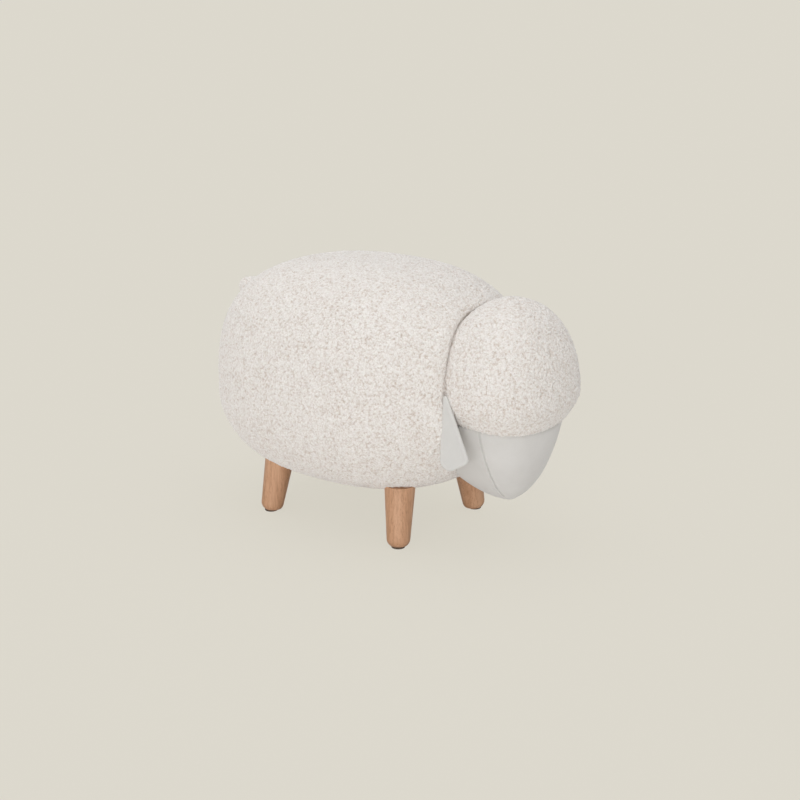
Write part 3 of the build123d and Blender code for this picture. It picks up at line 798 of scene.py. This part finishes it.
def ear_outline():
    """The round root, heel and toe of an ear, joined by straight edges."""
    circles = [(0.0, -EAR_ROOT_DROP - EAR_ROOT_ROUND, EAR_ROOT_ROUND), EAR_HEEL, EAR_TOE]
    normals = []
    for (x0, y0, r0), (x1, y1, r1) in zip(circles, circles[1:] + circles[:1]):
        along = math.atan2(y1 - y0, x1 - x0)
        normals.append(along - math.acos((r0 - r1) / math.hypot(x1 - x0, y1 - y0)))
    outline = []
    for place, (x, y, r) in enumerate(circles):
        start, end = normals[place - 1], normals[place]
        while end < start:
            end += 2 * math.pi
        for turn in np.linspace(start, end, EAR_ARC_POINTS):
            outline.append((x + r * math.cos(turn), y + r * math.sin(turn)))
        after_x, after_y, after_r = circles[(place + 1) % len(circles)]
        begin = np.array(outline[-1])
        finish = np.array((after_x + after_r * math.cos(end), after_y + after_r * math.sin(end)))
        for share in np.linspace(0, 1, EAR_EDGE_POINTS)[1:-1]:
            outline.append(begin + (finish - begin) * share)
    return np.array(outline)


def edge_distance(points, outline):
    """Distance of each point from a closed outline."""
    edges = np.roll(outline, -1, 0) - outline
    offset = points[:, None] - outline
    share = np.clip((offset * edges).sum(-1) / np.maximum((edges**2).sum(-1), SMALLEST_SQUARE), 0, 1)
    return np.sqrt(((offset - share[..., None] * edges) ** 2).sum(-1)).min(1)


def ear_points(way):
    """Points and faces of one hanging ear, in rings from the middle of one side round to the other."""
    outline = ear_outline()
    middle = (np.array(EAR_HEEL[:2]) + np.array(EAR_TOE[:2])) / 2
    hem_top = EAR_HEEL[1] + EAR_HEEL[2]
    rim_shares = np.linspace(1, EAR_RIM_SHARE, EAR_RIM_RINGS)
    core_shares = np.linspace(EAR_RIM_SHARE, EAR_CORE_SHARE, EAR_CORE_RINGS)[1:]
    shares = np.concatenate([rim_shares, core_shares])
    sides = []
    for side in (1, -1):
        rings = []
        for share in shares:
            flat = middle + (outline - middle) * share
            depth = edge_distance(flat, outline)
            round_share = np.clip(depth / EAR_THICKNESS * 2, 0, 1)
            half = EAR_THICKNESS / 2 * np.sqrt(1 - (1 - round_share) ** 2)
            hem = EAR_HEM_DEPTH * np.exp(-((depth - EAR_HEM_INSET) ** 2)) * (flat[:, 1] < hem_top)
            rings.append(np.column_stack([flat, EAR_THICKNESS / 2 + side * (half - hem)]))
        sides.append(rings)
    rings = sides[0][::-1] + sides[1]
    points = np.concatenate(rings)
    out = EAR_ROOT_Y + points[:, 2] - EAR_FLARE * points[:, 1] / EAR_LENGTH
    placed = np.column_stack([EAR_ROOT_X + points[:, 0], way * out, EAR_ROOT_HEIGHT + points[:, 1]]) * MM
    return placed, ring_faces(len(rings), len(outline))


# Ears, each with the tab that holds it
tab_ends = ((TAB_LENGTH, TAB_ROUND), (TAB_LENGTH - TAB_ROUND, 0), (TAB_ROUND, 0), (0, TAB_ROUND))
tab_rings = []
for drop, inset in tab_ends:
    height = EAR_ROOT_HEIGHT - TAB_DROP - drop
    tab_rings.append((height, EAR_ROOT_X, TAB_HALF_DEPTH - inset, TAB_HALF_WIDTH - inset, 0))
for name, way in (("left", 1), ("right", -1)):
    ear = new_object(f"ear_{name}_cloth", *ear_points(way))
    weld = ear.modifiers.new("weld", "WELD")
    weld.merge_threshold = EAR_WELD * MM
    settle(ear)
    dress(ear, ear_suede, "suede", f"ear_{name}", f"ear_lining_{name}", f"ear_outer_{name}")
    tab = new_object(f"ear_{name}_root", *ring_form(tab_rings, TAB_PLAN_POWER, even_turns(TAB_TURNS)))
    tab.data.transform(Matrix.Translation((0, way * (EAR_ROOT_Y - TAB_INSET) * MM, 0)))
    dress(tab, ear_suede, "suede", "stool", f"ear_tab_{name}")

# Tail
tail_middle = (TAIL_REAR + TAIL_FRONT) / 2
tail_half_depth = (TAIL_FRONT - TAIL_REAR) / 2
tail_half_height = (TAIL_TOP - TAIL_LOW) / 2
tail_rings = []
for turn in np.linspace(-TAIL_TURN, TAIL_TURN, TAIL_RINGS):
    inset = TAIL_ROUND * (1 - math.cos(turn) ** TAIL_ROUND_POWER)
    height = TAIL_LOW + tail_half_height * (1 + math.sin(turn))
    tail_rings.append((height, tail_middle, tail_half_depth - inset, TAIL_HALF_WIDTH - inset, 0))
tail = new_object("tail_wool", *ring_form(tail_rings, TAIL_PLAN_POWER, even_turns(TAIL_TURNS)))
grow_wool(tail, TAIL_VOXEL)
dress(tail, wool, "wool", "tail", "tail")

# Dust cover under the belly
low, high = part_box("dust_cover")
dust_size = (high[0] - low[0], high[1] - low[1])
dust_ring = ((low[0] + high[0]) / 2 / MM, dust_size[0] / 2 / MM, dust_size[1] / 2 / MM, 0)
dust_rings = [(corner[2] / MM, *dust_ring) for corner in (low, high)]
dust_points, dust_faces = ring_form(dust_rings, DUST_PLAN_POWER, even_turns(DUST_TURNS))
dust = new_object("belly_lining", dust_points, dust_faces)
dress(dust, lining_cloth, "lining", "stool", "dust_cover")

# Floor. Its own glow makes up the background where no shadow falls.
floor_light = SKY_LEVEL + ZENITH_LEVEL / 2 + SUN_STRENGTH * SUN_TOWARDS.z / math.pi
floor_glow = []
for seen_part, colour_part in zip(BACKGROUND, FLOOR_COLOUR):
    lit_part = FLOOR_SHADOW_SHARE * colour_part * floor_light
    floor_glow.append((seen_part - lit_part) / (1 - FLOOR_SHADOW_SHARE))
floor_corners = [(x * FLOOR_REACH, y * FLOOR_REACH, 0) for x, y in ((-1, -1), (1, -1), (1, 1), (-1, 1))]
floor_mesh = bpy.data.meshes.new("floor")
floor_mesh.from_pydata(floor_corners, [], [(0, 1, 2, 3)])
floor = bpy.data.objects.new("floor", floor_mesh)
bpy.context.scene.collection.objects.link(floor)
floor_material = bpy.data.materials.new("floor")
floor_material.use_nodes = True
tree = floor_material.node_tree
tree.nodes.clear()
diffuse = tree.nodes.new("ShaderNodeBsdfDiffuse")
diffuse.inputs["Color"].default_value = (*FLOOR_COLOUR, 1)
glow = tree.nodes.new("ShaderNodeEmission")
glow.inputs["Color"].default_value = (*floor_glow, 1)
seen = tree.nodes.new("ShaderNodeLightPath").outputs["Is Camera Ray"]
mix = tree.nodes.new("ShaderNodeMixShader")
output = tree.nodes.new("ShaderNodeOutputMaterial")
link_pairs(
    tree,
    (math_node(tree, "MULTIPLY", seen, 1 - FLOOR_SHADOW_SHARE), mix.inputs["Fac"]),
    (diffuse.outputs[0], mix.inputs[1]),
    (glow.outputs[0], mix.inputs[2]),
    (mix.outputs[0], output.inputs["Surface"]),
)
floor_mesh.materials.append(floor_material)

# Sky that lights the object, and the backdrop that is seen instead of it
world = bpy.data.worlds.new("studio")
bpy.context.scene.world = world
world.use_nodes = True
tree = world.node_tree
tree.nodes.clear()
sky = tree.nodes.new("ShaderNodeBackground")
sky.inputs["Color"].default_value = (1, 1, 1, 1)
towards = tree.nodes.new("ShaderNodeSeparateXYZ")
tree.links.new(tree.nodes.new("ShaderNodeTexCoord").outputs["Generated"], towards.inputs["Vector"])
upward = math_node(tree, "POWER", math_node(tree, "ABSOLUTE", towards.outputs["Z"]), ZENITH_POWER)
tree.links.new(math_node(tree, "MULTIPLY_ADD", upward, ZENITH_LEVEL, SKY_LEVEL), sky.inputs["Strength"])
backdrop = tree.nodes.new("ShaderNodeBackground")
backdrop.inputs["Color"].default_value = (*BACKGROUND, 1)
path = tree.nodes.new("ShaderNodeLightPath").outputs
seen = math_node(tree, "MAXIMUM", path["Is Glossy Ray"], path["Is Transmission Ray"])
seen = math_node(tree, "MAXIMUM", path["Is Camera Ray"], seen)
mix = tree.nodes.new("ShaderNodeMixShader")
output = tree.nodes.new("ShaderNodeOutputWorld")
link_pairs(
    tree,
    (seen, mix.inputs["Fac"]),
    (sky.outputs[0], mix.inputs[1]),
    (backdrop.outputs[0], mix.inputs[2]),
    (mix.outputs[0], output.inputs["Surface"]),
)

# Soft sun from the front
sun = bpy.data.objects.new("sun", bpy.data.lights.new("sun", "SUN"))
sun.data.energy = SUN_STRENGTH
sun.data.angle = SUN_SPREAD
sun.rotation_euler = SUN_TOWARDS.to_track_quat("Z", "Y").to_euler()
bpy.context.scene.collection.objects.link(sun)

bpy.context.scene.view_settings.view_transform = "Standard"
